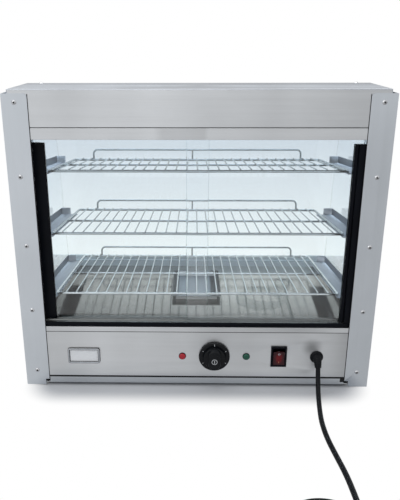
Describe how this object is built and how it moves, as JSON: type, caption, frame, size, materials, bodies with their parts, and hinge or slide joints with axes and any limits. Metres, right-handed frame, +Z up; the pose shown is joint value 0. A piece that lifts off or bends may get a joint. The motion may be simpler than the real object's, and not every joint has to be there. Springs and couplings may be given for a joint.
{
  "type": "heated display case",
  "caption": "Countertop heated display case with curved glass, sliding glass doors, sloping wire shelves and a heated stainless base with its controls under the doors.",
  "frame": {"origin": "centre of the footprint at the bottom of the feet", "axes": "+X towards the server's right seen from the doors, +Y from the doors to the customer's side, +Z up"},
  "size_m": [0.66, 0.9281, 0.5612],
  "materials": {
    "stainless_sheet": "brushed satin",
    "post_steel": "brushed satin, vertical grain",
    "polished_deck": "polished",
    "channel_steel": "satin",
    "inner_steel": "mill finish",
    "bracket_steel": "satin",
    "chrome_wire": "bright",
    "screw_steel": "bright",
    "clear_glass": "polished",
    "door_glass": "polished",
    "black_plastic": "satin",
    "knob_plastic": "semi-gloss",
    "black_rubber": "matte",
    "cord_rubber": "matte",
    "plate_chrome": "bright",
    "blank_label": "satin, left blank",
    "red_lens": "translucent",
    "green_lens": "translucent",
    "rocker_red": "translucent",
    "element_steel": "heat-darkened",
    "thermostat_metal": "satin",
    "copper_bulb": "drawn",
    "terminal_ceramic": "matte",
    "pin_brass": "polished"
  },
  "bodies": {
    "case": {"rubber_feet": "black_rubber", "base_tray": "inner_steel", "base_left_side": "stainless_sheet", "base_right_side": "stainless_sheet", "base_rear_panel": "stainless_sheet", "control_panel": "stainless_sheet", "front_sill": "stainless_sheet", "deck_side_rims": "stainless_sheet", "deck_rear_rim": "stainless_sheet", "deck_plate": "polished_deck", "left_post": "post_steel", "right_post": "post_steel", "left_jamb": "channel_steel", "right_jamb": "channel_steel", "door_rail": "stainless_sheet", "lower_door_track": "black_plastic", "upper_door_track": "black_plastic", "left_side_glass": "clear_glass", "right_side_glass": "clear_glass", "curved_glass": "clear_glass", "glass_channels": "channel_steel", "hood_cover": "stainless_sheet", "hood_fascia": "stainless_sheet", "hood_ceiling": "stainless_sheet", "glass_clamp": "inner_steel", "top_brackets": "bracket_steel", "middle_brackets": "bracket_steel", "bottom_brackets": "bracket_steel", "case_screws": "screw_steel", "bracket_screws": "screw_steel", "nameplate_frame": "plate_chrome", "nameplate_blank": "blank_label", "lamp_housings": "black_plastic", "red_lamp_lens": "red_lens", "green_lamp_lens": "green_lens", "thermostat_body": "thermostat_metal", "thermostat_bulb": "copper_bulb", "switch_housing": "black_plastic", "heat_shield": "inner_steel", "heating_element": "element_steel", "terminal_block": "terminal_ceramic", "cable_gland": "cord_rubber", "power_cord": "cord_rubber", "cord_coil": "cord_rubber", "mains_plug": "cord_rubber", "plug_pins": "pin_brass"},
    "left_door": {"left_door_glass": "door_glass", "left_door_pull": "black_plastic"},
    "right_door": {"right_door_glass": "door_glass", "right_door_pull": "black_plastic"},
    "knob": {"thermostat_knob": "knob_plastic", "thermostat_shaft": "screw_steel"},
    "rocker": {"switch_rocker": "rocker_red"},
    "top_shelf": {"top_shelf": "chrome_wire", "top_guard": "chrome_wire"},
    "middle_shelf": {"middle_shelf": "chrome_wire", "middle_guard": "chrome_wire"},
    "bottom_shelf": {"bottom_shelf": "chrome_wire", "bottom_guard": "chrome_wire"},
    "water_tray": {"water_tray": "stainless_sheet"}
  },
  "joints": [
    {"name": "left_door_slide", "type": "slide", "parent": "case", "child": "left_door", "axis": [1, 0, 0], "range_m": [0, 0.268]},
    {"name": "right_door_slide", "type": "slide", "parent": "case", "child": "right_door", "axis": [-1, 0, 0], "range_m": [0, 0.268]},
    {"name": "knob_turn", "type": "hinge", "parent": "case", "child": "knob", "pos_m": [0.034, -0.19605, 0.065], "axis": [0, 1, 0], "range_deg": [0, 300]},
    {"name": "switch_rock", "type": "hinge", "parent": "case", "child": "rocker", "pos_m": [0.157, -0.18905, 0.065], "axis": [-1, 0, 0], "range_deg": [0, 14]},
    {"name": "top_shelf_lift", "type": "slide", "parent": "case", "child": "top_shelf", "axis": [0, 0, 1], "range_m": [0, 0.03]},
    {"name": "middle_shelf_lift", "type": "slide", "parent": "case", "child": "middle_shelf", "axis": [0, 0, 1], "range_m": [0, 0.03]},
    {"name": "bottom_shelf_lift", "type": "slide", "parent": "case", "child": "bottom_shelf", "axis": [0, 0, 1], "range_m": [0, 0.03]},
    {"name": "water_tray_slide", "type": "slide", "parent": "case", "child": "water_tray", "axis": [0, -1, 0], "range_m": [0, 0.12]}
  ]
}
